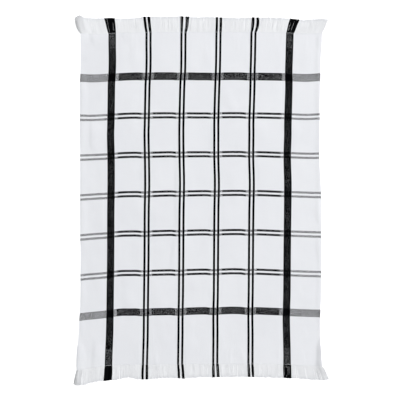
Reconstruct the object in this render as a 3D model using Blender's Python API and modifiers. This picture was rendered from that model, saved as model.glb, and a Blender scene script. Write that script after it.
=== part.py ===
"""A woven cotton tea towel with a fringe at both ends, lying face up with its top end at +Y.

The cloth is one sheet. Its lengthwise yarns run on past each end as a fringe, one comb an end.
Lengths are in metres, and the tables are in millimetres, as a towel is measured and cut.
The origin is in the middle of the outline of cloth and fringes, on the surface underneath.
"""

import math
from collections import namedtuple

import bmesh
import bpy

MM = 0.001

# Driving sizes of the flat, woven towel
WIDTH = 0.460
WOVEN_LENGTH = 0.6375
THICKNESS = 0.002

# Where the towel lies: its middle line, and the line at which the top fringe starts
MIDDLE_X = -0.0026
TOP_ROOT_Y = 0.3238

# The fringe combs
FRINGE_GAP = 0.0004
ROOT_BAND_SHARE = 0.16
TOOTH_COUNT = 58
TOOTH_PITCH = WIDTH / TOOTH_COUNT
TOOTH_SLOT = 0.0011
TOOTH_ROWS = (0.0, ROOT_BAND_SHARE, 1.0)
TIP_WAVE = 0.0006

# Cells of the cloth's net, which is finer near its edges, where it curls
CELLS_ACROSS = 34
CELLS_ALONG = 48
EDGE_FINENESS = 0.55

# How far each side edge lies from its straight line, to the right. down is from the top root
SideRow = namedtuple("SideRow", "down left right")
SIDE_EDGES_MM = (
    SideRow(0, 1.3, 5.9),
    SideRow(25, 1.3, 5.0),
    SideRow(50, 1.2, 3.2),
    SideRow(75, 0.9, 2.7),
    SideRow(97, -0.1, 2.1),
    SideRow(125, 0.4, 1.4),
    SideRow(175, 0.1, 1.3),
    SideRow(195, 0.2, 1.2),
    SideRow(240, 0.3, 0.6),
    SideRow(290, 0.7, 3.4),
    SideRow(345, 0.6, 4.4),
    SideRow(425, 1.2, 4.4),
    SideRow(500, 1.0, 3.9),
    SideRow(545, -1.5, 2.1),
    SideRow(580, -3.6, 2.2),
    SideRow(611, -6.3, 4.0),
    SideRow(638, -6.2, 5.6),
)

# The ends, by the distance across from the middle line. A root is how far down the fringe's
# line lies from a straight one, a reach is the fringe's length, and a lean is to the right
EndRow = namedtuple(
    "EndRow", "across top_root top_reach top_lean bottom_root bottom_reach bottom_lean"
)
ENDS_MM = (
    EndRow(-230, 3.0, 29.6, -11.7, 12.4, 26.8, -6.6),
    EndRow(-222, 3.2, 34.4, -9.6, 11.2, 30.1, -4.8),
    EndRow(-211, 3.5, 30.2, -7.2, 9.0, 31.3, -3.5),
    EndRow(-194, 3.5, 30.0, -6.6, 6.4, 28.4, -2.2),
    EndRow(-170, 2.5, 29.1, -5.6, 3.5, 28.7, -2.0),
    EndRow(-150, 1.4, 26.8, -3.6, 2.2, 28.1, -0.8),
    EndRow(-120, 0.5, 27.3, -3.6, 1.5, 27.8, 0.0),
    EndRow(-100, 0.0, 29.5, -4.0, 1.3, 28.9, -0.2),
    EndRow(-67, 0.0, 29.0, -1.3, 1.1, 26.3, 1.0),
    EndRow(-33, 0.0, 29.9, 2.1, 0.8, 27.5, 2.0),
    EndRow(0, 0.0, 28.5, 1.0, 0.3, 25.4, 1.2),
    EndRow(33, 0.0, 28.3, 0.8, 0.0, 25.8, 1.3),
    EndRow(67, 0.0, 26.8, 1.2, 0.0, 25.0, 0.6),
    EndRow(100, 0.2, 28.2, 3.5, 0.1, 25.3, 1.4),
    EndRow(140, 0.7, 27.8, 5.4, 0.6, 26.3, 0.8),
    EndRow(170, 1.6, 26.2, 9.8, 1.5, 26.0, 0.6),
    EndRow(190, 2.5, 25.9, 9.0, 2.6, 26.0, 3.0),
    EndRow(211, 2.9, 28.0, 10.2, 3.4, 27.1, 6.4),
    EndRow(230, 2.3, 26.3, 12.3, 4.0, 25.0, 15.0),
)

# Folds that stand up off the surface. Each runs down from one place to another on the lying
# towel, and left and right are how far it spreads to either side of its line
Fold = namedtuple("Fold", "name across down to_across to_down left right height")
FOLDS_MM = (
    Fold("top left corner", -227, -36, -232, -3, 12, 26, 5.5),
    Fold("top left crease", -206, 3, -204, 13, 12, 18, 0.9),
    Fold("top right corner", 242, -26, 233, 20, 12, 9, 1.4),
    Fold("left margin crease", -206, 192, -206, 208, 10, 22, 0.7),
    Fold("second pair's ridge", -42, 240, -42, 372, 12, 26, 1.0),
    Fold("second pair's lower ridge", -43, 402, -50, 436, 12, 26, 0.9),
    Fold("bottom left crease", -200, 618, -202, 650, 12, 24, 1.2),
    Fold("bottom left edge", -231, 612, -234, 690, 8, 18, 2.4),
    Fold("bottom right edge", 236, 613, 237.5, 690, 14.5, 20, 4.5),
    Fold("bottom right corner", 238, 668, 239, 700, 12, 20, 3.0),
)


def slope_at(places, values, i):
    """The slope of a smooth curve through the values, at place i."""
    before = max(i - 1, 0)
    after = min(i + 1, len(places) - 1)
    return (values[after] - values[before]) / (places[after] - places[before])


def read_table(rows, name, at):
    """A column of a table in millimetres, read smoothly at a place in metres, in metres."""
    places = [row[0] for row in rows]
    values = [getattr(row, name) for row in rows]
    wanted = min(max(at / MM, places[0]), places[-1])
    i = 0
    while wanted > places[i + 1]:
        i += 1
    span = places[i + 1] - places[i]
    t = (wanted - places[i]) / span
    start = slope_at(places, values, i) * span
    end = slope_at(places, values, i + 1) * span
    height = (
        values[i] * (1 + 2 * t) * (1 - t) ** 2
        + values[i + 1] * t * t * (3 - 2 * t)
        + start * t * (1 - t) ** 2
        - end * t * t * (1 - t)
    )
    return height * MM


def side_shift(across, down):
    """How far right of its flat place a point of the cloth lies."""
    left = read_table(SIDE_EDGES_MM, "left", down)
    right = read_table(SIDE_EDGES_MM, "right", down)
    return left + (right - left) * (across / WIDTH + 0.5)


def root_shift(end, across):
    """How far down of a straight line the fringe of this end starts."""
    return read_table(ENDS_MM, end + "_root", across)


def lift(across, down):
    """How far the underside stands off the surface at a place on the lying towel."""
    height = 0.0
    for fold in FOLDS_MM:
        run_x = fold.to_across - fold.across
        run_y = fold.to_down - fold.down
        length = math.hypot(run_x, run_y)
        from_x = across / MM - fold.across
        from_y = down / MM - fold.down
        along = (from_x * run_x + from_y * run_y) / length
        beside = (from_x * run_y - from_y * run_x) / length
        spread = fold.left if beside < 0 else fold.right
        past_end = max(-along, along - length, 0.0)
        off = math.hypot(beside / spread, past_end / (fold.left + fold.right))
        if off < 1:
            height += fold.height * MM * (1 + math.cos(math.pi * off)) / 2
    return height


def laid(across, down):
    """The place of a point that lies this far across and down from the towel's own lines."""
    return MIDDLE_X + across, TOP_ROOT_Y - down, lift(across, down)


def cloth_place(across, down):
    """Where a point of the flat cloth lies."""
    share = down / WOVEN_LENGTH
    sag = (1 - share) * root_shift("top", across) + share * root_shift("bottom", across)
    return laid(across + side_shift(across, down), down + sag)


def fringe_place(end, across, share):
    """Where a point of a fringe lies, from share 0 at its root to 1 at its tips."""
    way = -1 if end == "top" else 1
    root = 0.0 if end == "top" else WOVEN_LENGTH
    reach = read_table(ENDS_MM, end + "_reach", across)
    reach += TIP_WAVE * math.sin(0.9 * across / TOOTH_PITCH)
    lean = read_table(ENDS_MM, end + "_lean", across)
    down = root + root_shift(end, across) + way * (FRINGE_GAP + reach * share)
    return laid(across + side_shift(across, root) + lean * share, down)


def uneven(share):
    """A share of a side, with the cells near both of its ends made narrower."""
    return share - EDGE_FINENESS * math.sin(2 * math.pi * share) / (2 * math.pi)


def tooth_edge(column):
    """How far across the fringe a tooth's edge stands. Even columns are left edges."""
    tooth = column // 2
    if column == 0:
        return -WIDTH / 2
    if column == 2 * TOOTH_COUNT - 1:
        return WIDTH / 2
    inset = TOOTH_SLOT / 2 if column % 2 == 0 else TOOTH_PITCH - TOOTH_SLOT / 2
    return -WIDTH / 2 + tooth * TOOTH_PITCH + inset


def cotton(name, colour):
    material = bpy.data.materials.new(name)
    material.use_nodes = True
    shader = material.node_tree.nodes["Principled BSDF"]
    shader.inputs["Base Color"].default_value = (*colour, 1.0)
    shader.inputs["Roughness"].default_value = 0.9
    shader.inputs["Metallic"].default_value = 0.0
    return material


def net(columns, rows):
    """A flat net of cells. Its points carry their column and row as whole X and Y numbers."""
    mesh = bmesh.new()
    bmesh.ops.create_grid(mesh, x_segments=columns, y_segments=rows, size=0.5)
    for point in mesh.verts:
        point.co.x = round((point.co.x + 0.5) * columns)
        point.co.y = round((point.co.y + 0.5) * rows)
    return mesh


def sheet_object(name, mesh, material, collection):
    """Makes an object of a net, and gives it its thickness above the net."""
    mesh.normal_update()
    data = bpy.data.meshes.new(name)
    mesh.to_mesh(data)
    mesh.free()
    data.materials.append(material)
    made = bpy.data.objects.new(name, data)
    collection.objects.link(made)
    thick = made.modifiers.new("thickness", "SOLIDIFY")
    thick.thickness = THICKNESS
    thick.offset = 1.0
    return made


def make_cloth(material, collection):
    """The woven sheet, with its selvages and its flat end bands in one piece."""
    mesh = net(CELLS_ACROSS, CELLS_ALONG)
    for point in mesh.verts:
        across = WIDTH * (uneven(point.co.x / CELLS_ACROSS) - 0.5)
        down = WOVEN_LENGTH * (1 - uneven(point.co.y / CELLS_ALONG))
        point.co = cloth_place(across, down)
    return sheet_object("cloth", mesh, material, collection)


def make_fringe(end, material, collection):
    """One end's fringe: a band at the root, cut into teeth from there to the tips."""
    mesh = net(2 * TOOTH_COUNT - 1, len(TOOTH_ROWS) - 1)
    slots = [
        face
        for face in mesh.faces
        if face.calc_center_median().y > 1
        and int(face.calc_center_median().x) % 2 == 1
    ]
    bmesh.ops.delete(mesh, geom=slots, context="FACES")
    for point in mesh.verts:
        across = tooth_edge(int(point.co.x))
        share = TOOTH_ROWS[int(point.co.y)]
        point.co = fringe_place(end, across, share)
    if end == "bottom":
        bmesh.ops.reverse_faces(mesh, faces=mesh.faces)
    return sheet_object("fringe_" + end, mesh, material, collection)


for startup_object in list(bpy.data.objects):
    bpy.data.objects.remove(startup_object)

tea_towel = bpy.data.collections.new("tea_towel")
bpy.context.scene.collection.children.link(tea_towel)
make_cloth(cotton("woven cotton", (0.82, 0.82, 0.84)), tea_towel)
fringe_yarn = cotton("fringe yarn", (0.80, 0.80, 0.82))
make_fringe("top", fringe_yarn, tea_towel)
make_fringe("bottom", fringe_yarn, tea_towel)
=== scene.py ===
"""A white cotton tea towel with black check lines, lying face up, with a fringe at both ends.

Lengths are in metres, and the tables are in millimetres, as cloth is measured and cut. Places on
the cloth are across, to the right of its middle line, and down, from the line at which the top
fringe starts. They are flat places as woven, or lying places where the towel lies.
"""

import math
from collections import namedtuple

import bmesh
import bpy
import numpy as np
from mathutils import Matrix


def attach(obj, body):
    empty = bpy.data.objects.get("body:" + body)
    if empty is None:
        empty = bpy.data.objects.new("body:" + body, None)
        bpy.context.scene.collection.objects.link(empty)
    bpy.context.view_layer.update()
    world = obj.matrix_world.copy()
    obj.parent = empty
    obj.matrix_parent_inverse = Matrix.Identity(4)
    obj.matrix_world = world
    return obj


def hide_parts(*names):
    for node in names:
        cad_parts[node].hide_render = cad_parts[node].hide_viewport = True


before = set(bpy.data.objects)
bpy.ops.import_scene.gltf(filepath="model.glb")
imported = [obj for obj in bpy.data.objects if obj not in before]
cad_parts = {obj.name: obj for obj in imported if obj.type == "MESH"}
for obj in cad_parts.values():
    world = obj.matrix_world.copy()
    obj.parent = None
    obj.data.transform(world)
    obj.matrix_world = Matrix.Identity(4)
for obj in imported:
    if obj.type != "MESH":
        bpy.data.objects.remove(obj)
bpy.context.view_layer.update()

# The cloth. One woven sheet of white and black cotton yarns, about a millimetre thick, with a
# selvage down each side and a flat plain-weave band at each end. It is laid out by hand, so its
# lines wander a little, its corners roll and a few soft creases are left in it.
MM = 0.001
CLOTH_WIDTH = 0.460
CLOTH_LENGTH = 0.6375
CLOTH_THICKNESS = 0.0011
CLOTH_STANDS_OFF = 0.0004
MIDDLE_X = -0.0026
TOP_ROOT_Y = 0.3238
CLOTH_CELLS_ACROSS = 260
CLOTH_CELLS_ALONG = 182

WARP_PAIR_PITCH = 67.0
WARP_PAIRS_END = 134.0
WARP_PAIR_SPREAD = 3.8
WARP_LINE_HALF = 2.1
WIDE_WARP_AT = 170.0
WIDE_WARP_HALF = 7.1

# Where the crosswise lines are, by the distance down
WIDE_WEFTS_AT = (84.8, 535.0)
WIDE_WEFT_HALVES = (7.4, 7.1)
WEFT_PAIR_FIRST = 160.1
WEFT_PAIR_PITCH = 75.03
WEFT_PAIRS = 5
WEFT_PAIR_SPREAD = 3.86
WEFT_PAIR_SPREAD_IN_MARGINS = 4.05
WEFT_LINE_HALF = 2.15

# How far places of the cloth lie to the right of where they would lie if it lay straight
SidewaysRow = namedtuple(
    "SidewaysRow", "down left_edge left_stripe middle right_pair right_stripe right_edge"
)
SIDEWAYS_MM = (
    SidewaysRow(0, 1.3, 2.2, 2.9, 3.3, 3.7, 5.9),
    SidewaysRow(25, 1.3, 2.2, 2.6, 2.8, 3.1, 5.0),
    SidewaysRow(50, 1.2, 2.6, 2.4, 2.3, 2.3, 3.2),
    SidewaysRow(75, 0.9, 2.1, 1.9, 1.6, 1.5, 2.7),
    SidewaysRow(97, -0.1, 0.8, 0.7, 1.4, 1.9, 2.1),
    SidewaysRow(125, 0.4, 0.4, -0.2, 0.7, 1.3, 1.4),
    SidewaysRow(175, 0.1, -0.4, -1.3, -0.8, -0.2, 1.3),
    SidewaysRow(195, 0.2, -1.0, -1.4, -0.7, -0.2, 1.2),
    SidewaysRow(240, 0.3, 0.0, -1.2, -1.1, -1.3, 0.6),
    SidewaysRow(290, 0.7, 0.1, -0.1, 0.1, -0.2, 3.4),
    SidewaysRow(345, 0.6, -0.6, -1.1, -0.8, -0.6, 4.4),
    SidewaysRow(425, 1.2, -0.8, -1.6, -1.5, -1.5, 4.4),
    SidewaysRow(500, 1.0, -1.7, -2.1, -2.1, -2.1, 3.9),
    SidewaysRow(545, -1.5, -2.2, -3.0, -2.8, -3.2, 2.1),
    SidewaysRow(580, -3.6, -2.9, -3.0, -2.4, -2.6, 2.2),
    SidewaysRow(611, -6.3, -4.2, -3.3, -2.5, -1.9, 4.0),
    SidewaysRow(638, -6.2, -5.0, -3.5, -2.6, -1.7, 5.6),
)
SIDEWAYS_AT = (-230.0, -170.0, 0.0, 100.5, 170.0, 230.0)

# How far they lie down of it: the two roots of the fringes, the wide lines and the middle
DownRow = namedtuple("DownRow", "across top_root wide_top middle wide_bottom bottom_root")
DOWN_MM = (
    DownRow(-230, 3.0, 3.3, 8.0, 13.0, 12.4),
    DownRow(-211, 3.5, 4.2, 6.7, 10.8, 9.0),
    DownRow(-194, 3.5, 4.0, 5.6, 9.3, 6.4),
    DownRow(-182, 3.0, 3.1, 5.1, 7.9, 4.5),
    DownRow(-150, 1.4, 1.3, 2.0, 3.7, 2.2),
    DownRow(-130, 0.7, 0.4, 1.4, 3.3, 1.7),
    DownRow(-88, 0.0, -0.1, 1.1, 2.9, 1.2),
    DownRow(-64, 0.0, -0.1, 0.3, 2.5, 1.1),
    DownRow(-20, 0.0, 0.2, 0.0, 1.7, 0.6),
    DownRow(3, 0.0, 0.6, -0.4, 1.0, 0.3),
    DownRow(47, 0.0, 0.1, -0.6, 0.6, 0.0),
    DownRow(65, 0.0, 0.0, -0.9, 0.0, 0.0),
    DownRow(114, 0.2, 0.7, -0.6, 1.0, 0.2),
    DownRow(157, 1.0, 1.5, 1.0, 2.7, 1.0),
    DownRow(182, 2.2, 2.7, 1.8, 4.2, 2.2),
    DownRow(205, 3.0, 3.5, 2.6, 5.2, 3.2),
    DownRow(216, 2.8, 2.7, 3.0, 5.6, 3.6),
    DownRow(230, 2.3, 1.7, 3.2, 5.9, 4.0),
)
DOWN_AT = (0.0, 84.8, 309.9, 535.0, 637.5)

# The crosswise lines droop a little at each lengthwise pair, and more so lower down
DROOP_AT_TOP = 0.6
DROOP_AT_BOTTOM = 1.2
DROOP_LEFT_OF_PAIR = 4.0
DROOP_REACH = 12.0
DROOP_SQUARENESS = 4
DROOP_FADES_OVER = 40.0

# Folds, creases and puckers, each from one lying place to another. Left and right are how far it
# spreads to either side of its line
Fold = namedtuple("Fold", "name across down to_across to_down left right height")
FOLDS_MM = (
    Fold("top left corner", -227, -36, -232, -3, 12, 26, 5.5),
    Fold("top left corner's edge", -239, -30, -234, -12, 4, 12, 2.2),
    Fold("top left crease", -206.5, 5, -204.5, 11, 8, 14, 0.85),
    Fold("top left fringe's crease", -208, -22, -203, -8, 5, 12, 0.6),
    Fold("top right corner", 244, -26, 233, 20, 12, 8, 1.2),
    Fold("second pair's ridge", -42, 240, -42, 372, 8, 24, 1.0),
    Fold("second pair's lower ridge", -43, 402, -50, 436, 10, 26, 0.9),
    Fold("bottom left crease", -200, 620, -202, 650, 9, 22, 1.15),
    Fold("bottom left edge", -232.5, 612, -234, 665, 4.5, 18, 1.7),
    Fold("bottom left corner", -237, 668, -240, 700, 5, 14, 3.6),
    Fold("bottom left fringe's crease", -226, 662, -226, 676, 7, 14, 1.5),
    Fold("bottom right edge", 236, 613, 237.5, 690, 14.5, 20, 4.5),
    Fold("bottom right corner", 238, 655, 248, 695, 17, 20, 4.5),
)
CREASES_MM = (
    Fold("left selvage", -226, 85, -226, 570, 4, 13, 0.6),
    Fold("right selvage", 229, 10, 231, 570, 9, 5, 0.7),
    Fold("left margin crease", -206, 192, -206, 208, 7, 22, 0.7),
    Fold("left margin swell", -188, 325, -186, 362, 26, 12, 0.7),
    Fold("first pair's ridge", -107, 248, -107, 298, 9, 16, 0.6),
    Fold("first block's swell", -109, 405, -109, 440, 24, 20, 0.8),
    Fold("first block's lower swell", -142, 470, -140, 496, 17, 30, 0.7),
    Fold("third pair's ridge", 26, 188, 26, 222, 7, 15, 0.8),
    Fold("third pair's lower ridge", 26, 356, 26, 380, 8, 15, 0.6),
    Fold("third pair's slant", 18, 322, 26, 338, 8, 12, 0.5),
    Fold("right margin swell", 226, 322, 229, 352, 20, 6, 0.6),
)

# The puckers, which stand side by side between these places, each a little different
PUCKERS_BETWEEN = (-188.0, 222.0)
PUCKER_COUNT = 32
PUCKER_SHIFT = 5.0
PUCKER_LEAN = 2.5
PUCKER_LENGTHS = (0.35, 1.0)
PUCKER_WIDTHS = (2.5, 6.0)
PUCKER_HEIGHTS = (0.08, 0.3)
TOP_PUCKERS_DOWN = (2.0, 40.0)
BOTTOM_PUCKERS_DOWN = (636.0, 608.0)

# The rest of its shape: slight waves all over it, lengthwise lines that stand proud, and the
# angle past which its rim is sharp
UNEVEN_SEED = 5
UNEVEN_WAVES = 36
UNEVEN_WAVE_MM = (26.0, 95.0)
UNEVEN_HEIGHT = 0.06
PROUD_LINE_SPREAD = 10.0
PROUD_LINE_HEIGHT = 0.3
RIM_ANGLE = 50.0


def curve_through(places, values, wanted):
    """A smooth curve read where wanted. Values has a row for each place, or one number."""
    places = np.asarray(places, float)
    values = np.asarray(values, float)
    if values.ndim == 1:
        values = np.repeat(values[:, None], len(wanted), axis=1)
    number = np.arange(len(places))
    before = np.maximum(number - 1, 0)
    after = np.minimum(number + 1, len(places) - 1)
    slopes = (values[after] - values[before]) / (places[after] - places[before])[:, None]
    wanted = np.clip(wanted, places[0], places[-1])
    i = np.clip(np.searchsorted(places, wanted, side="right") - 1, 0, len(places) - 2)
    point = np.arange(len(wanted))
    span = places[i + 1] - places[i]
    t = (wanted - places[i]) / span
    rise = slopes[i, point] * span * t * (1 - t) ** 2
    fall = slopes[i + 1, point] * span * t * t * (1 - t)
    start = values[i, point] * (1 + 2 * t) * (1 - t) ** 2
    end = values[i + 1, point] * t * t * (3 - 2 * t)
    return start + end + rise - fall


def read_column(rows, name, at):
    """A column of a table, read at places in millimetres."""
    return curve_through([row[0] for row in rows], [getattr(row, name) for row in rows], at)


def read_field(rows, columns_at, across_rows, across_columns):
    """A table read both down its rows and along its columns, which stand at columns_at."""
    columns = np.array([read_column(rows, name, across_rows) for name in rows[0]._fields[1:]])
    return curve_through(columns_at, columns, across_columns)


def from_pair(across):
    """How far right of the middle of the nearest pair of lengthwise lines a place is."""
    return across % WARP_PAIR_PITCH - WARP_PAIR_PITCH / 2


def lying(across, down):
    """Where flat places come to lie, all in millimetres."""
    droop = DROOP_AT_TOP + (DROOP_AT_BOTTOM - DROOP_AT_TOP) * down / (CLOTH_LENGTH / MM)
    off = (from_pair(across) + DROOP_LEFT_OF_PAIR) / DROOP_REACH
    droop = droop * np.exp(-(off ** DROOP_SQUARENESS))
    droop = droop * (np.abs(across) < WARP_PAIRS_END)
    from_end = np.minimum(down, CLOTH_LENGTH / MM - down)
    droop = droop * np.clip(from_end / DROOP_FADES_OVER, 0, 1)
    sideways = read_field(SIDEWAYS_MM, SIDEWAYS_AT, down, across)
    sag = read_field(DOWN_MM, DOWN_AT, across, down)
    return across + sideways, down + sag + droop


def raised(folds, across, down):
    """How far these folds lift the cloth at lying places."""
    height = np.zeros(len(across))
    for fold in folds:
        run_x = fold.to_across - fold.across
        run_y = fold.to_down - fold.down
        length = math.hypot(run_x, run_y)
        from_x = across - fold.across
        from_y = down - fold.down
        along = (from_x * run_x + from_y * run_y) / length
        beside = (from_x * run_y - from_y * run_x) / length
        spread = np.where(beside < 0, fold.left, fold.right)
        past_end = np.maximum(np.maximum(-along, along - length), 0)
        off = np.minimum(np.hypot(beside / spread, past_end / (fold.left + fold.right)), 1)
        height += fold.height * (1 + np.cos(math.pi * off)) / 2
    return height


def puckers(down, to_down, seed):
    """Short soft ridges side by side, which the seam leaves in an end band, as far as to_down."""
    draw = np.random.default_rng(seed)
    folds = []
    for across in np.linspace(*PUCKERS_BETWEEN, PUCKER_COUNT):
        at = across + draw.uniform(-PUCKER_SHIFT, PUCKER_SHIFT)
        lean = draw.uniform(-PUCKER_LEAN, PUCKER_LEAN)
        end = down + (to_down - down) * draw.uniform(*PUCKER_LENGTHS)
        width = draw.uniform(*PUCKER_WIDTHS)
        height = draw.uniform(*PUCKER_HEIGHTS)
        folds.append(Fold("pucker", at, down, at + lean, end, width, width, height))
    return tuple(folds)


def unevenness(across, down):
    """The slight rise and fall that is left all over cloth that isn't ironed."""
    draw = np.random.default_rng(UNEVEN_SEED)
    height = np.zeros(len(across))
    for _ in range(UNEVEN_WAVES):
        turn = 2 * math.pi / draw.uniform(*UNEVEN_WAVE_MM)
        way = draw.uniform(0, math.pi)
        start = draw.uniform(0, 2 * math.pi)
        height += np.cos(turn * (across * math.cos(way) + down * math.sin(way)) + start)
    return UNEVEN_HEIGHT * height


TOP_PUCKERS = puckers(*TOP_PUCKERS_DOWN, seed=11)
BOTTOM_PUCKERS = puckers(*BOTTOM_PUCKERS_DOWN, seed=12)
ALL_FOLDS = FOLDS_MM + CREASES_MM + TOP_PUCKERS + BOTTOM_PUCKERS


def on_surface(across, down):
    """How high the cloth's underside is at lying places, in millimetres."""
    height = raised(ALL_FOLDS, across, down) + unevenness(across, down)
    return np.maximum(height, 0) + CLOTH_STANDS_OFF / MM


def line_rise(across):
    """How far the cloth stands proud at its lengthwise lines, by flat places."""
    off = np.minimum(np.abs(from_pair(across)), np.abs(np.abs(across) - WIDE_WARP_AT))
    off = np.clip(off / PROUD_LINE_SPREAD, 0, 1)
    return PROUD_LINE_HEIGHT * (1 + np.cos(math.pi * off)) / 2


def give_values(mesh, name, values):
    """Keeps a number for each point of a mesh, for its material to read."""
    mesh.attributes.new(name, "FLOAT", "POINT").data.foreach_set("value", values.astype("f"))


def bake_map(mesh, places):
    """Gives each corner of a mesh's faces its place on the image that the finish is baked to."""
    mesh.uv_layers.new(name="OFBake").data.foreach_set("uv", places.ravel().astype("f"))


# The sheet is made flat, laid out and given its thickness
grid = bmesh.new()
bmesh.ops.create_grid(grid, x_segments=CLOTH_CELLS_ACROSS, y_segments=CLOTH_CELLS_ALONG, size=0.5)
cloth_mesh = bpy.data.meshes.new("towel_cloth")
grid.to_mesh(cloth_mesh)
grid.free()
points = np.empty(3 * len(cloth_mesh.vertices), "f")
cloth_mesh.vertices.foreach_get("co", points)
points = points.reshape(-1, 3).astype(float)
flat_across = points[:, 0] * CLOTH_WIDTH / MM
flat_down = (0.5 - points[:, 1]) * CLOTH_LENGTH / MM
lying_across, lying_down = lying(flat_across, flat_down)
points[:, 0] = MIDDLE_X + lying_across * MM
points[:, 1] = TOP_ROOT_Y - lying_down * MM
points[:, 2] = (on_surface(lying_across, lying_down) + line_rise(flat_across)) * MM
cloth_mesh.vertices.foreach_set("co", points.ravel().astype("f"))
give_values(cloth_mesh, "across", flat_across)
give_values(cloth_mesh, "down", flat_down)
cloth = bpy.data.objects.new("towel_cloth", cloth_mesh)
bpy.context.scene.collection.objects.link(cloth)
thick = cloth.modifiers.new("thickness", "SOLIDIFY")
thick.thickness = CLOTH_THICKNESS
thick.offset = 1.0
view = bpy.context.evaluated_depsgraph_get()
thickened = cloth.evaluated_get(view)
cloth.data = bpy.data.meshes.new_from_object(
    thickened, preserve_all_data_layers=True, depsgraph=view
)
cloth.modifiers.clear()

# On the image that its finish is baked to, the underside is squeezed in beside the upper side,
# and the rim runs round the upper side
BAKED_UPPER_AT = 0.35
BAKED_UPPER_WIDTH = 0.67
BAKED_UNDER_AT = 0.85
BAKED_UNDER_WIDTH = 0.28
BAKED_LENGTH = 0.97
BAKED_RIM = 0.006
NEARLY_HALF = 0.4999

corner = np.empty(len(cloth.data.loops), int)
cloth.data.loops.foreach_get("vertex_index", corner)
on_top = corner < len(flat_across)
is_under = np.repeat(~on_top.reshape(-1, 4).any(axis=1), 4)
along_u = (flat_across / CLOTH_WIDTH * MM)[corner % len(flat_across)]
along_v = (0.5 - flat_down / CLOTH_LENGTH * MM)[corner % len(flat_across)]
outward = np.where(on_top | is_under, 0.0, BAKED_RIM)
baked_u = np.where(is_under, BAKED_UNDER_AT, BAKED_UPPER_AT)
baked_u += np.where(is_under, BAKED_UNDER_WIDTH, BAKED_UPPER_WIDTH) * along_u
baked_u += outward * (np.abs(along_u) > NEARLY_HALF) * np.sign(along_u)
baked_v = 0.5 + BAKED_LENGTH * along_v
baked_v += outward * (np.abs(along_v) > NEARLY_HALF) * np.sign(along_v)
bake_map(cloth.data, np.stack((baked_u, baked_v), axis=-1))
cloth.data.shade_smooth()
cloth.data.set_sharp_from_angle(angle=math.radians(RIM_ANGLE))


class Wire:
    """An output of a shader node. Sums on wires add Math nodes to their material."""

    def __init__(self, tree, socket=None):
        self.tree = tree
        self.socket = socket

    def node(self, kind, settings=None, sockets=None, output=0):
        """Adds a node: its settings first, then the value of each socket or the wire into it."""
        made = self.tree.nodes.new(kind)
        for name, value in (settings or {}).items():
            setattr(made, name, value)
        for name, value in (sockets or {}).items():
            if isinstance(value, Wire):
                self.tree.links.new(value.socket, made.inputs[name])
            else:
                made.inputs[name].default_value = value
        return Wire(self.tree, made.outputs[output])

    def maths(self, operation, *values):
        return self.node("ShaderNodeMath", {"operation": operation}, dict(enumerate(values)))

    def kept(self, name):
        """The numbers that the mesh keeps under this name."""
        return self.node("ShaderNodeAttribute", {"attribute_name": name}, {}, "Fac")

    def feed(self, shader, socket):
        """Links the wire to one of a shader's sockets."""
        self.tree.links.new(self.socket, shader.inputs[socket])

    def __add__(self, other):
        return self.maths("ADD", self, other)

    def __sub__(self, other):
        return self.maths("SUBTRACT", self, other)

    def __mul__(self, other):
        return self.maths("MULTIPLY", self, other)

    def __mod__(self, other):
        return self.maths("FLOORED_MODULO", self, other)

    def __rsub__(self, other):
        return self.maths("SUBTRACT", other, self)

    def __abs__(self):
        return self.maths("ABSOLUTE", self)

    __radd__ = __add__
    __rmul__ = __mul__

    def cosine(self):
        return self.maths("COSINE", self)

    def rises(self, low, high):
        """0 up to the low value and 1 from the high one, with a smooth climb between them."""
        sockets = {0: self, 1: low, 2: high, 3: 0.0, 4: 1.0}
        return self.node("ShaderNodeMapRange", {"interpolation_type": "SMOOTHSTEP"}, sockets)

    def within(self, half, soft):
        """1 where the wire is under half, with an edge this soft, and 0 past it."""
        return 1 - self.rises(half - soft / 2, half + soft / 2)

    def between(self, low, high):
        """Goes from low to high as the wire goes from 0 to 1."""
        return low + self * (high - low)

    def tint(self, dark, light):
        """Goes from one colour to another as the wire goes from 0 to 1."""
        sockets = {0: self, 6: dark, 7: light}
        return self.node("ShaderNodeMix", {"data_type": "RGBA"}, sockets, 2)

    def bump(self):
        """A bump for a shader's Normal, from a height in metres."""
        return self.node("ShaderNodeBump", {}, {"Strength": 1.0, "Distance": 1.0, "Height": self})

    def patches(self, other, per_across, per_down, detail=2.0):
        """Cloudy patches about 0, at so many to a millimetre across and down."""
        place = {"X": self * per_across, "Y": other * per_down}
        place = self.node("ShaderNodeCombineXYZ", {}, place)
        sockets = {"Vector": place, "Scale": 1.0, "Detail": detail}
        return self.node("ShaderNodeTexNoise", {"noise_dimensions": "2D"}, sockets) - 0.5


COTTON_SPECULAR = 0.01
COTTON_SHEEN_ROUGHNESS = 0.5


def cotton(name, roughness, sheen):
    """A matt cotton finish. Returns its material, its shader and a wire to hang nodes on."""
    material = bpy.data.materials.new(name)
    material.use_nodes = True
    shader = material.node_tree.nodes["Principled BSDF"]
    shader.inputs["Roughness"].default_value = roughness
    shader.inputs["Specular IOR Level"].default_value = COTTON_SPECULAR
    shader.inputs["Sheen Weight"].default_value = sheen
    shader.inputs["Sheen Roughness"].default_value = COTTON_SHEEN_ROUGHNESS
    return material, shader, Wire(material.node_tree)


def shown_above(share):
    """The height of the weave's wave above which this share of the cloth shows its warp."""
    turn = np.cos(np.linspace(0, math.pi, 300))
    return float(np.quantile(np.outer(turn, turn), 1 - share))


WHITE_YARN = (0.800, 0.812, 0.842, 1.0)
WHITE_YARN_SHADED = (0.765, 0.778, 0.812, 1.0)
BLACK_YARN = (0.0008, 0.0009, 0.0012, 1.0)
BLACK_YARN_WORN = (0.0040, 0.0043, 0.0052, 1.0)
FLAT_BESIDE_PAIR = 11.0
BLOCKS_END = 156.8
MARGIN_STARTS = 178.0
END_BANDS = (28.7, 604.5)

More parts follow.
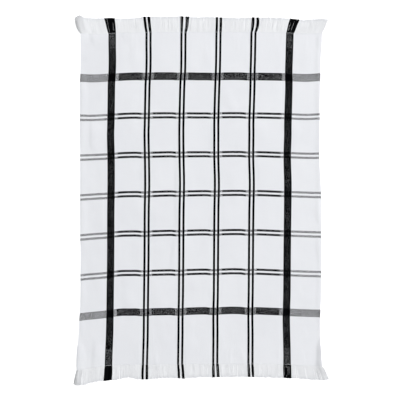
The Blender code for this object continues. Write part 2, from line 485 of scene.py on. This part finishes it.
# How wide the soft edge is of a black line, of a weave, and of the part of the cloth with pairs.
# Other changes run over this much to both sides of their place
LINE_SOFT = 0.3
WEAVE_SOFT = 0.6
CHECK_SOFT = 1.0
CHANGE_HALF = 1.0

# The right wide line is narrower from the middle down, and the wide wefts wider in the margins
RIGHT_WIDE_NARROWS = 0.3
RIGHT_WIDE_NARROWS_DOWN = (280.0, 380.0)
WIDE_WEFT_WIDENS = 0.12

woven, woven_shader, hook = cotton("woven cotton", roughness=0.95, sheen=0.0)
across = hook.kept("across")
down = hook.kept("down")
aside = abs(across)
pair_off = abs(aside % WARP_PAIR_PITCH - WARP_PAIR_PITCH / 2)
inner = aside.within(WARP_PAIRS_END, CHECK_SOFT)
on_right = across.rises(-CHANGE_HALF, CHANGE_HALF)
warp_wide_off = on_right * down.rises(*RIGHT_WIDE_NARROWS_DOWN) * RIGHT_WIDE_NARROWS
warp_wide_off = abs(aside - WIDE_WARP_AT) + warp_wide_off
warp_wide = warp_wide_off.within(WIDE_WARP_HALF, LINE_SOFT)
warp_line = abs(pair_off - WARP_PAIR_SPREAD).within(WARP_LINE_HALF, LINE_SOFT) * inner
warp_black = warp_wide + warp_line

margin = aside.rises(MARGIN_STARTS - CHANGE_HALF, MARGIN_STARTS + CHANGE_HALF)
top_off = abs(down - WIDE_WEFTS_AT[0]) - WIDE_WEFT_HALVES[0]
bottom_off = abs(down - WIDE_WEFTS_AT[1]) - WIDE_WEFT_HALVES[1]
weft_wide_off = hook.maths("MINIMUM", top_off, bottom_off) - margin * WIDE_WEFT_WIDENS
weft_wide = weft_wide_off.within(0.0, LINE_SOFT)
weft_pair_off = (down - (WEFT_PAIR_FIRST - WEFT_PAIR_PITCH / 2)) % WEFT_PAIR_PITCH
weft_spread = margin.between(WEFT_PAIR_SPREAD, WEFT_PAIR_SPREAD_IN_MARGINS)
weft_pair_off = abs(abs(weft_pair_off - WEFT_PAIR_PITCH / 2) - weft_spread)
pairs_middle = WEFT_PAIR_FIRST + WEFT_PAIR_PITCH * (WEFT_PAIRS - 1) / 2
pairs_reach = WEFT_PAIR_PITCH * WEFT_PAIRS / 2
among_pairs = abs(down - pairs_middle).within(pairs_reach, CHECK_SOFT)
weft_line = weft_pair_off.within(WEFT_LINE_HALF, LINE_SOFT) * among_pairs
weft_black = weft_wide + weft_line

in_top_band = down.within(END_BANDS[0], WEAVE_SOFT)
in_bottom_band = down.rises(END_BANDS[1] - WEAVE_SOFT / 2, END_BANDS[1] + WEAVE_SOFT / 2)
ends = in_top_band + in_bottom_band
beside_pair = pair_off.within(FLAT_BESIDE_PAIR, WEAVE_SOFT) * inner
block = aside.within(BLOCKS_END, WEAVE_SOFT) * (1 - beside_pair) * (1 - ends)

# The yarns' crossing is a wave, high where the warp passes over. Their spacing drifts a little.
# The streaks run along single yarns, which are thicker and thinner by turns
WARP_PITCH = 0.575
WEFT_PITCH = 0.600
YARN_DRIFT = 2.4
DRIFT_PATCHES = 0.35

warp_at = across + across.patches(down, DRIFT_PATCHES, DRIFT_PATCHES) * YARN_DRIFT
weft_at = down + down.patches(across, DRIFT_PATCHES, DRIFT_PATCHES) * YARN_DRIFT
wave = (warp_at * (math.pi / WARP_PITCH)).cosine() * (weft_at * (math.pi / WEFT_PITCH)).cosine()
grain = across.patches(down, 0.55, 0.65, detail=3.0)
weft_streaks = across.patches(down, 0.05, 0.9, detail=3.0)
warp_streaks = across.patches(down, 0.9, 0.035, detail=3.0)
clouds = across.patches(down, 0.012, 0.012)

# The warp shows where the wave is above a level, which follows from the share of the cloth that
# shows its warp in each weave. A rise of it shows more weft, and a fall shows more warp
WARP_SHOWS = {"plain": 0.335, "block": 0.045, "line": 0.980, "line at the ends": 0.948}
BLOCK_STREAKS = 0.35
PLAIN_GRAIN = 1.1
WIDE_WEFT_EDGE = (-2.4, -0.4)
WIDE_WEFT_EDGE_RISE = 0.16
WIDE_WEFT_PLAIN_RISE = 0.02
WIDE_WEFT_BESIDE_PAIR_RISE = 0.20
WIDE_WEFT_RISE_TO_RIGHT = 0.00015
WIDE_WEFT_BLOCK_FALL = 0.02
LINE_STREAKS = 0.15
WIDE_WARP_EDGE = (WIDE_WARP_HALF - 2.6, WIDE_WARP_HALF - 1.2)
WIDE_WARP_EDGE_FALL = 0.12
CROSSING_SOFT = 0.05

level = block.between(shown_above(WARP_SHOWS["plain"]), shown_above(WARP_SHOWS["block"]))
level = level - block * weft_streaks * BLOCK_STREAKS - (1 - block) * grain * PLAIN_GRAIN
level = level + weft_wide_off.rises(*WIDE_WEFT_EDGE) * weft_wide * WIDE_WEFT_EDGE_RISE
plain_rise = beside_pair * WIDE_WEFT_BESIDE_PAIR_RISE + across * WIDE_WEFT_RISE_TO_RIGHT
level = level + weft_wide * (1 - block) * (plain_rise + WIDE_WEFT_PLAIN_RISE)
level = level - weft_wide * block * WIDE_WEFT_BLOCK_FALL
line_level = ends.between(shown_above(WARP_SHOWS["line"]), shown_above(WARP_SHOWS["line at the ends"]))
line_level = line_level - warp_streaks * LINE_STREAKS
line_level = line_level - warp_wide_off.rises(*WIDE_WARP_EDGE) * WIDE_WARP_EDGE_FALL
level = level + warp_black * (line_level - level)
warp_on_top = (wave - level).rises(-CROSSING_SOFT, CROSSING_SOFT)

# How far each yarn's colour goes from its darker shade to its lighter one, and how far that varies
WHITE_CLOUDS = 1.2
WHITE_STREAKS = 0.5
WHITE_BASE = 0.6
BLACK_GRAIN = 1.2
BLACK_BASE = 0.15

lightness = clouds * WHITE_CLOUDS + weft_streaks * WHITE_STREAKS + warp_streaks * WHITE_STREAKS
white = (lightness + WHITE_BASE).tint(WHITE_YARN_SHADED, WHITE_YARN)
black = (grain * BLACK_GRAIN + BLACK_BASE).tint(BLACK_YARN, BLACK_YARN_WORN)
warp_colour = warp_black.tint(white, black)
weft_colour = weft_black.tint(white, black)
warp_on_top.tint(weft_colour, warp_colour).feed(woven_shader, "Base Color")

# How much of the surface's height, in millimetres, comes from each of these. The blocks, which
# have the longest loose yarns, stand a little above the flat weave round them
WEAVE_RELIEF = 0.10
STREAK_RELIEF = 0.10
GRAIN_RELIEF = 0.06
BLOCK_RELIEF = 0.10

yarn_height = abs(wave) * WEAVE_RELIEF + weft_streaks * STREAK_RELIEF + warp_streaks * STREAK_RELIEF
yarn_height = yarn_height + grain * GRAIN_RELIEF
past_blocks = aside.rises(BLOCKS_END - CHANGE_HALF, BLOCKS_END + CHANGE_HALF)
block_edge = beside_pair * BLOCK_RELIEF + past_blocks * BLOCK_RELIEF
((yarn_height - block_edge) * MM).bump().feed(woven_shader, "Normal")
cloth.data.materials.append(woven)

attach(cloth, "root")
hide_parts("cloth")

# The fringes. The lengthwise yarns run on past the last crosswise one at each end, loose and a
# little fluffy, black where a black line runs out. They lean outwards near the corners, cling
# together in small bundles and are trimmed by hand, so their tips are uneven.
STRANDS = 1240
STRAND_HALF_WIDTH = 0.46
STRAND_HALF_HEIGHT = 0.22
STRAND_END_WIDTH = 0.9
STRAND_SWELL = 0.2
STRAND_SIDES = 5
STRAND_POINTS = 9
STRAND_END_POINT = 0.012
STRAND_LAYERS = (0.65, 0.90)
ROOT_INSIDE = 0.8

# How loosely the strands lie. They go by bundles, and then each a little its own way. The black
# ones and those near a corner cling together more
BUNDLE_MM = 3.6
BUNDLES_REACH = 240
BUNDLE_SWAY = 0.4
BUNDLE_TIP = 0.4
BUNDLE_LIFT = 0.10
STRAND_JITTER = 0.1
STRAND_SWAY = 0.2
STRAND_TIP = 0.45
STRAND_LIFT = 0.04
LOWEST_LIFT = -0.1
LEAN_CURVE = 0.8
TIPS_COME_DOWN = 0.55
TIPS_COME_DOWN_CURVE = 4
BLACK_CLINGS = 0.35
BLACK_SPREADS = 1.3
CORNER_CLINGS = 14.0
CORNER_LOOSENESS = 0.3

# Reach is a fringe's length, lean is how far its tips lie to the right of its root, and bow is
# how far its middle bends to the right of the way that it leans
FringeRow = namedtuple("FringeRow", "across reach lean bow")
TOP_FRINGE_MM = (
    FringeRow(-230, 30.8, -11.7, -2.1),
    FringeRow(-222, 35.6, -9.6, -1.6),
    FringeRow(-211, 31.4, -7.2, -0.5),
    FringeRow(-194, 31.2, -6.6, 0.0),
    FringeRow(-176.7, 30.7, -8.4, 0.4),
    FringeRow(-163.3, 29.9, -2.8, 0.4),
    FringeRow(-150, 28.0, -3.6, 0.0),
    FringeRow(-120, 28.5, -3.6, 0.0),
    FringeRow(-104.4, 30.6, -4.2, 0.0),
    FringeRow(-96.7, 30.7, -3.8, 0.0),
    FringeRow(-88, 30.9, -2.0, 0.0),
    FringeRow(-67, 30.2, -1.3, 0.0),
    FringeRow(-41, 31.5, -1.6, 0.0),
    FringeRow(-35.4, 31.2, 1.2, 0.0),
    FringeRow(-31.6, 31.0, 2.6, 0.9),
    FringeRow(-26, 30.6, 4.6, 0.6),
    FringeRow(-14, 29.5, 1.5, 0.0),
    FringeRow(0, 29.7, 1.0, 0.0),
    FringeRow(33, 29.5, 0.8, 0.0),
    FringeRow(67, 28.0, 1.2, 0.0),
    FringeRow(94, 29.4, 2.4, 0.0),
    FringeRow(105, 29.3, 4.5, 2.2),
    FringeRow(140, 29.0, 5.4, 0.0),
    FringeRow(163.3, 27.9, 8.0, -0.9),
    FringeRow(176.7, 26.8, 11.2, -0.9),
    FringeRow(190, 27.1, 9.0, 0.0),
    FringeRow(211, 29.2, 10.2, 0.0),
    FringeRow(230, 27.5, 12.3, 0.0),
)
BOTTOM_FRINGE_MM = (
    FringeRow(-230, 28.0, -6.6, 0.0),
    FringeRow(-222, 31.3, -4.8, 0.0),
    FringeRow(-211, 32.5, -3.5, 0.0),
    FringeRow(-194, 29.6, -2.2, 0.0),
    FringeRow(-176.7, 30.1, -3.0, 0.5),
    FringeRow(-163.3, 29.6, -1.1, 0.5),
    FringeRow(-150, 29.3, -0.8, 0.0),
    FringeRow(-135, 26.0, -0.3, 0.0),
    FringeRow(-113, 29.9, 0.0, 0.0),
    FringeRow(-104.4, 30.1, -1.1, -0.4),
    FringeRow(-96.7, 29.9, -0.2, 0.0),
    FringeRow(-67, 27.5, 1.0, 0.0),
    FringeRow(-37, 28.4, 1.4, 0.0),
    FringeRow(-30, 29.1, 2.7, 0.0),
    FringeRow(0, 26.6, 1.2, 0.0),
    FringeRow(29.6, 27.3, 0.4, 0.0),
    FringeRow(37.4, 26.7, 2.2, 0.0),
    FringeRow(67, 26.2, 0.6, 0.0),
    FringeRow(100, 26.5, 1.4, 0.0),
    FringeRow(140, 27.5, 0.8, 0.0),
    FringeRow(163.3, 27.1, 0.8, 0.0),
    FringeRow(176.7, 27.4, 0.4, 0.0),
    FringeRow(190, 27.2, 3.0, 0.0),
    FringeRow(211, 28.3, 6.4, 0.0),
    FringeRow(230, 26.2, 15.0, 0.0),
)

# How many thin white strands stray over each black tassel, by where its black line runs out
Tassel = namedtuple("Tassel", "across top_strays bottom_strays")
TASSELS_MM = (
    Tassel(-170, 2, 0),
    Tassel(-104.3, 0, 0),
    Tassel(-96.7, 1, 1),
    Tassel(-37.3, 2, 1),
    Tassel(-29.7, 4, 1),
    Tassel(29.7, 1, 1),
    Tassel(37.3, 2, 1),
    Tassel(96.7, 2, 1),
    Tassel(104.3, 2, 1),
    Tassel(170, 3, 6),
)
STRAY_SPREADS = 0.28
STRAY_STANDS_UP = 0.2
STRAY_STARTS_UNDER = 0.6
STRAY_RISE_CURVE = 14

# How deep the painted shade is on the strands of a curled corner, by the distance in from its outer
# edge
SHADED_EDGE_MM = (0.0, 2.5, 5.0, 11.0, 14.0)
SHADED_EDGE_SHADES = (1.0, 0.75, 0.38, 0.30, 0.0)

# The image that tubes are baked to: how many stand side by side, and the gaps round each
BAKED_COLUMNS = 310
BAKED_MARGIN = 0.15
BAKED_ROW_MARGIN = 0.02
BAKED_END_SIZE = 0.01


def bundled(draw, across, amount):
    """A random amount for each yarn, nearly the same for yarns in one bundle."""
    places = np.arange(-BUNDLES_REACH, BUNDLES_REACH + 1, BUNDLE_MM)
    return np.interp(across, places, draw.normal(0, amount, len(places)))


def tube_map(count, rings):
    """Where tubes are baked: each is one narrow upright patch, which all of its sides share."""
    columns = min(count, BAKED_COLUMNS)
    rows = -(-count // columns)
    number = np.arange(count)[:, None, None]
    left = (number % columns + BAKED_MARGIN) / columns
    width = (1 - 2 * BAKED_MARGIN) / columns
    up_row = np.linspace(BAKED_ROW_MARGIN, 1 - BAKED_ROW_MARGIN, rings)[None, :, None]
    ring = (number // columns + up_row) / rows
    sides = np.empty((count, rings - 1, STRAND_SIDES, 4, 2))
    sides[..., 0] = left[..., None] + width * np.array((1, 1, 0, 0))
    sides[..., (0, 3), 1] = ring[:, :-1, :, None]
    sides[..., (1, 2), 1] = ring[:, 1:, :, None]
    turn = 2 * math.pi * np.arange(STRAND_SIDES) / STRAND_SIDES
    ends = np.empty((2, count, STRAND_SIDES, 2))
    ends[..., 0] = left[:, 0] + width * (0.5 + 0.5 * np.cos(turn))
    ends[..., 1] = ring[:, (0, -1), 0].T[..., None] + BAKED_END_SIZE / rows * np.sin(turn)
    return np.concatenate((sides.reshape(-1, 2), ends.reshape(-1, 2)))


def tubes(name, middles, radii, up=(0.0, 0.0, 1.0), flatness=1.0):
    """A mesh of a closed tube along each row of middles, made this flat along the up way."""
    count, rings = middles.shape[:2]
    along = np.gradient(middles, axis=1)
    along /= np.linalg.norm(along, axis=2, keepdims=True)
    beside = np.cross(along, up)
    beside /= np.linalg.norm(beside, axis=2, keepdims=True)
    above = np.cross(beside, along) * flatness
    turn = (math.pi * (0.5 + 2 * np.arange(STRAND_SIDES) / STRAND_SIDES))[:, None]
    rim = beside[:, :, None] * np.cos(turn) + above[:, :, None] * np.sin(turn)
    places = middles[:, :, None] + rim * radii[:, :, None, None]
    number = np.arange(count * rings * STRAND_SIDES).reshape(count, rings, STRAND_SIDES)
    turned = np.roll(number, -1, axis=2)
    sides = (number[:, :-1], number[:, 1:], turned[:, 1:], turned[:, :-1])
    faces = np.stack(sides, axis=-1).reshape(-1, 4).tolist()
    faces += number[:, 0].tolist() + number[:, -1, ::-1].tolist()
    mesh = bpy.data.meshes.new(name)
    mesh.from_pydata(places.reshape(-1, 3).tolist(), [], faces)
    mesh.shade_smooth()
    bake_map(mesh, tube_map(count, rings))
    return mesh


def facing(across, down):
    """The way that the cloth's surface faces at lying places, by its rise over a millimetre."""
    rise_across = on_surface(across + 0.5, down) - on_surface(across - 0.5, down)
    rise_down = on_surface(across, down + 0.5) - on_surface(across, down - 0.5)
    return np.stack((-rise_across, rise_down, np.ones(len(across))), axis=-1)


def black_and_stray(across, counts):
    """Which strands are black, and which are the white ones that stray over a black tassel."""
    black = np.zeros(len(across), bool)
    stray = np.zeros(len(across), bool)
    for tassel, count in zip(TASSELS_MM, counts):
        half = WIDE_WARP_HALF if abs(tassel.across) == WIDE_WARP_AT else WARP_LINE_HALF
        inside = np.flatnonzero(np.abs(across - tassel.across) < half)
        black[inside] = True
        stray[inside[[int(len(inside) * (number + 0.5) / count) for number in range(count)]]] = True
    return black & ~stray, stray


def strand_routes(draw, across, freedom, root, way, rows, share):
    """How far across and down each strand lies, at these shares of its length."""
    reach = read_column(rows, "reach", across) + freedom * bundled(draw, across, BUNDLE_TIP)
    reach += freedom * draw.normal(0, STRAND_TIP, STRANDS)
    lean = read_column(rows, "lean", across) + freedom * bundled(draw, across, BUNDLE_SWAY)
    lean += freedom * draw.normal(0, STRAND_SWAY, STRANDS)
    bow = bundled(draw, across, BUNDLE_SWAY / 2) + draw.normal(0, STRAND_SWAY, STRANDS)
    bow = read_column(rows, "bow", across) + freedom * bow
    root_across, root_down = lying(across, np.full(STRANDS, float(root)))
    root_down -= way * ROOT_INSIDE
    strand_across = root_across[:, None] + lean[:, None] * share ** LEAN_CURVE
    strand_across += bow[:, None] * np.sin(math.pi * share)
    return strand_across, root_down[:, None] + way * reach[:, None] * share


def strand_heights(draw, across, black, stray, surface, share):
    """How high each strand lies over the surface, the black ones and the strays on top."""
    lift = bundled(draw, across, BUNDLE_LIFT) + draw.normal(0, STRAND_LIFT, STRANDS)
    lift = np.maximum(lift, LOWEST_LIFT)
    upper = black | stray | (np.arange(STRANDS) % 2 == 1)
    layer = np.where(upper, STRAND_LAYERS[1], STRAND_LAYERS[0]) + stray * STRAY_STANDS_UP
    height = surface + layer[:, None]
    height -= TIPS_COME_DOWN * layer[:, None] * share ** TIPS_COME_DOWN_CURVE
    height += lift[:, None] * np.sin(math.pi * share)
    return height - STRAY_STARTS_UNDER * stray[:, None] * (1 - share) ** STRAY_RISE_CURVE


def fringe(name, root, way, rows, strays, shades, seed):
    """One end's loose strands, from the root at this distance down. Way is -1 up, or 1 down.

    Shades are how strongly shade is painted on the outer strands of its left and its right corner,
    where they curl up on edge.
    """
    draw = np.random.default_rng(seed)
    half_width = CLOTH_WIDTH / MM / 2 - STRAND_HALF_WIDTH
    across = np.linspace(-half_width, half_width, STRANDS)
    across = np.clip(across + draw.normal(0, STRAND_JITTER, STRANDS), -half_width, half_width)
    black, stray = black_and_stray(across, strays)
    from_corner = half_width - np.abs(across)
    freedom = np.where(black, BLACK_CLINGS, 1.0)
    freedom *= np.clip(from_corner / CORNER_CLINGS, CORNER_LOOSENESS, 1)
    share = np.linspace(0, 1, STRAND_POINTS)
    share = np.sort(np.append(share, (STRAND_END_POINT, 1 - STRAND_END_POINT)))[None, :]
    lie_across, lie_down = strand_routes(draw, across, freedom, root, way, rows, share)
    surface = on_surface(lie_across.ravel(), lie_down.ravel()).reshape(lie_down.shape)
    height = strand_heights(draw, across, black, stray, surface, share)
    middles = np.stack((MIDDLE_X / MM + lie_across, TOP_ROOT_Y / MM - lie_down, height), axis=-1) * MM
    widths = np.where(black, BLACK_SPREADS, np.where(stray, STRAY_SPREADS, 1.0))
    swell = STRAND_END_WIDTH + STRAND_SWELL * np.sin(math.pi * share)
    widths = STRAND_HALF_WIDTH * MM * widths[:, None] * swell
    up = facing(lie_across.ravel(), lie_down.ravel()).reshape(*lie_down.shape, 3)
    mesh = tubes(name, middles, widths, up, STRAND_HALF_HEIGHT / STRAND_HALF_WIDTH)
    # Painted shade for each strand, deepest on the outermost strands of a shaded corner
    edge = np.interp(from_corner, SHADED_EDGE_MM, SHADED_EDGE_SHADES)
    edge = edge * np.where(across < 0, shades[0], shades[1])
    tone = draw.uniform(size=STRANDS)
    for value_name, values in (("black", black), ("tone", tone), ("edge", edge)):
        give_values(mesh, value_name, np.repeat(values, share.size * STRAND_SIDES))
    give_values(mesh, "share", np.tile(np.repeat(share.ravel(), STRAND_SIDES), STRANDS))
    made = bpy.data.objects.new(name, mesh)
    bpy.context.scene.collection.objects.link(made)
    return made


# The loose yarn's white, and a darker white that serves both for random tone and for shade painted on
# towards the tips
LOOSE_WHITE = (0.862, 0.872, 0.890, 1.0)
LOOSE_WHITE_DARK_TONE_AND_SHADE = (0.765, 0.777, 0.802, 1.0)
# A grey for the shade painted on the outer strands of a curled corner
LOOSE_WHITE_PAINTED_SHADE = (0.540, 0.548, 0.562, 1.0)

# A strand differs from the next by its tone, has shade painted on towards its tip, and is twisted of
# thin plies
LOOSE_BASE = 0.65
TONE_LIGHTENS = 0.3
TIP_SHADE_FROM = 0.70
TIP_SHADE_DARKENS = 0.7
EDGE_SHADE_FULL_BY = 0.4
PLY_ANGLE = 160.0
PLY_SHIFT = 9.0
PLY_RELIEF = 0.04

loose, loose_shader, hook = cotton("loose yarn", roughness=0.95, sheen=0.01)
is_black = hook.kept("black")
tone = hook.kept("tone")
share = hook.kept("share")
edge = hook.kept("edge")
# Painted shade darkens each strand towards its tip, on top of its own random tone
lightness = tone * TONE_LIGHTENS + LOOSE_BASE - share.rises(TIP_SHADE_FROM, 1.0) * TIP_SHADE_DARKENS
white = lightness.tint(LOOSE_WHITE_DARK_TONE_AND_SHADE, LOOSE_WHITE)

# Painted shade on a curled corner's outer strands: at the root it lies only near the very edge
edge = edge * share.rises(0.0, EDGE_SHADE_FULL_BY).between(edge, 1.0)
white = edge.tint(white, LOOSE_WHITE_PAINTED_SHADE)
black = (tone * tone).tint(BLACK_YARN, BLACK_YARN_WORN)
is_black.tint(white, black).feed(loose_shader, "Base Color")
plies = (share * PLY_ANGLE + tone * PLY_SHIFT).cosine() * (PLY_RELIEF * MM)
plies.bump().feed(loose_shader, "Normal")

top_strays = [tassel.top_strays for tassel in TASSELS_MM]
bottom_strays = [tassel.bottom_strays for tassel in TASSELS_MM]
# Shade is painted on the outer strands of the top left and bottom left corners, and half as much at
# the bottom right
top_fringe = fringe(
    "top_fringe", 0, -1, TOP_FRINGE_MM, top_strays, shades=(1.0, 0.0), seed=21
)
bottom_fringe = fringe(
    "bottom_fringe", CLOTH_LENGTH / MM, 1, BOTTOM_FRINGE_MM, bottom_strays, shades=(1.0, 0.5), seed=22
)
for piece, node in ((top_fringe, "fringe_top"), (bottom_fringe, "fringe_bottom")):
    piece.data.materials.append(loose)
    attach(piece, "root")
    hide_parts(node)

# The lock stitching. A line of white cotton thread is sewn along each fringe's root, so that the
# last crosswise yarns can't slip off. Its stitches slant a little and dip in at both ends.
STITCH_LENGTH = 2.5
STITCH_SLANT = 0.5
STITCH_COVERS = 0.94
STITCH_SLANT_VARIES = 0.3
STITCH_WANDERS = 0.12
STITCH_ARCH = 1.6
STITCH_SINKS = 1.2
STITCH_POINTS = 6
THREAD_RADIUS = 0.145
THREAD_MOTTLE = 900.0
SEAM_INSET = 1.5


def stitching(name, root, seed):
    """A row of slanted stitches along the root of a fringe."""
    draw = np.random.default_rng(seed)
    half_width = CLOTH_WIDTH / MM / 2 - SEAM_INSET
    starts = np.arange(-half_width, half_width - STITCH_LENGTH, STITCH_LENGTH)
    share = np.linspace(0, 1, STITCH_POINTS)[None, :]
    slant = STITCH_SLANT * (1 + draw.normal(0, STITCH_SLANT_VARIES, len(starts)))
    wander = draw.normal(0, STITCH_WANDERS, len(starts))
    across = starts[:, None] + share * STITCH_LENGTH * STITCH_COVERS
    down = root + slant[:, None] * (share - 0.5) + wander[:, None]
    lie_across, lie_down = lying(across.ravel(), down.ravel())
    height = on_surface(lie_across, lie_down) + line_rise(across.ravel()) + CLOTH_THICKNESS / MM
    arch = THREAD_RADIUS * STITCH_ARCH * (4 * share * (1 - share)) ** 0.5
    height = height.reshape(across.shape) + arch
    height -= STITCH_SINKS * THREAD_RADIUS
    lie_across = lie_across.reshape(across.shape)
    lie_down = lie_down.reshape(across.shape)
    middles = np.stack((MIDDLE_X / MM + lie_across, TOP_ROOT_Y / MM - lie_down, height), axis=-1) * MM
    made = bpy.data.objects.new(name, tubes(name, middles, np.full(across.shape, THREAD_RADIUS * MM)))
    bpy.context.scene.collection.objects.link(made)
    return made


thread, thread_shader, hook = cotton("sewing thread", roughness=0.8, sheen=0.01)
place = hook.node("ShaderNodeTexCoord", {}, {}, "Object")
tone = hook.node("ShaderNodeTexNoise", {}, {"Vector": place, "Scale": THREAD_MOTTLE})
tone.tint(WHITE_YARN_SHADED, WHITE_YARN).feed(thread_shader, "Base Color")
top_stitches = stitching("top_stitches", 0, seed=31)
bottom_stitches = stitching("bottom_stitches", CLOTH_LENGTH / MM, seed=32)
for piece in (top_stitches, bottom_stitches):
    piece.data.materials.append(thread)
    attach(piece, "root")

# The studio. The towel lies on a white light table, which shows no shadow, under one large soft
# lamp high up to the right of its top end and a pale room all around.
TABLE_SIZE = 14.0
LAMP_WAY = (0.55, 0.42, 0.72)
LAMP_DISTANCE = 9.0
LAMP_SIZE = 3.0
LAMP_POWER = 610.0
ROOM_LIGHT = 0.53
WHITE_LIGHT = (1.0, 1.0, 1.0, 1.0)
TABLE_WHITE = (0.9, 0.9, 0.9, 1.0)
TABLE_ROUGHNESS = 0.9
TABLE_GLOW = 0.6

bpy.ops.mesh.primitive_plane_add(size=TABLE_SIZE)
floor = bpy.context.object
floor.name = "light_table"
table_top = bpy.data.materials.new("light table")
table_top.use_nodes = True
table_shader = table_top.node_tree.nodes["Principled BSDF"]
table_shader.inputs["Base Color"].default_value = TABLE_WHITE
table_shader.inputs["Roughness"].default_value = TABLE_ROUGHNESS
table_shader.inputs["Specular IOR Level"].default_value = 0.0
table_shader.inputs["Emission Color"].default_value = WHITE_LIGHT
table_shader.inputs["Emission Strength"].default_value = TABLE_GLOW
floor.data.materials.append(table_top)

lamp_data = bpy.data.lights.new("soft_lamp", "AREA")
lamp_data.shape = "DISK"
lamp_data.size = LAMP_SIZE
lamp_data.energy = LAMP_POWER
lamp = bpy.data.objects.new("soft_lamp", lamp_data)
lamp.location = [LAMP_DISTANCE * way for way in LAMP_WAY]
lamp.rotation_euler = lamp.location.to_track_quat("Z", "Y").to_euler()
bpy.context.scene.collection.objects.link(lamp)

room = bpy.data.worlds.new("room")
room.use_nodes = True
room.node_tree.nodes["Background"].inputs["Strength"].default_value = ROOM_LIGHT
room.node_tree.nodes["Background"].inputs["Color"].default_value = WHITE_LIGHT
bpy.context.scene.world = room
bpy.context.scene.view_settings.view_transform = "Standard"

# The camera looks straight down from above the middle of the towel, through a long lens
PHOTO_WIDTH = 0.7692
PHOTO_MIDDLE = (-0.00164, 0.00093)
LENS = 85.0
SENSOR = 36.0
CAMERA_SEES_TO = 40.0

camera_data = bpy.data.cameras.new("camera")
camera_data.lens = LENS
camera_data.sensor_width = SENSOR
camera_data.clip_end = CAMERA_SEES_TO
camera = bpy.data.objects.new("camera", camera_data)
camera.location = (*PHOTO_MIDDLE, PHOTO_WIDTH * LENS / SENSOR + CLOTH_THICKNESS)
bpy.context.scene.collection.objects.link(camera)
bpy.context.scene.camera = camera
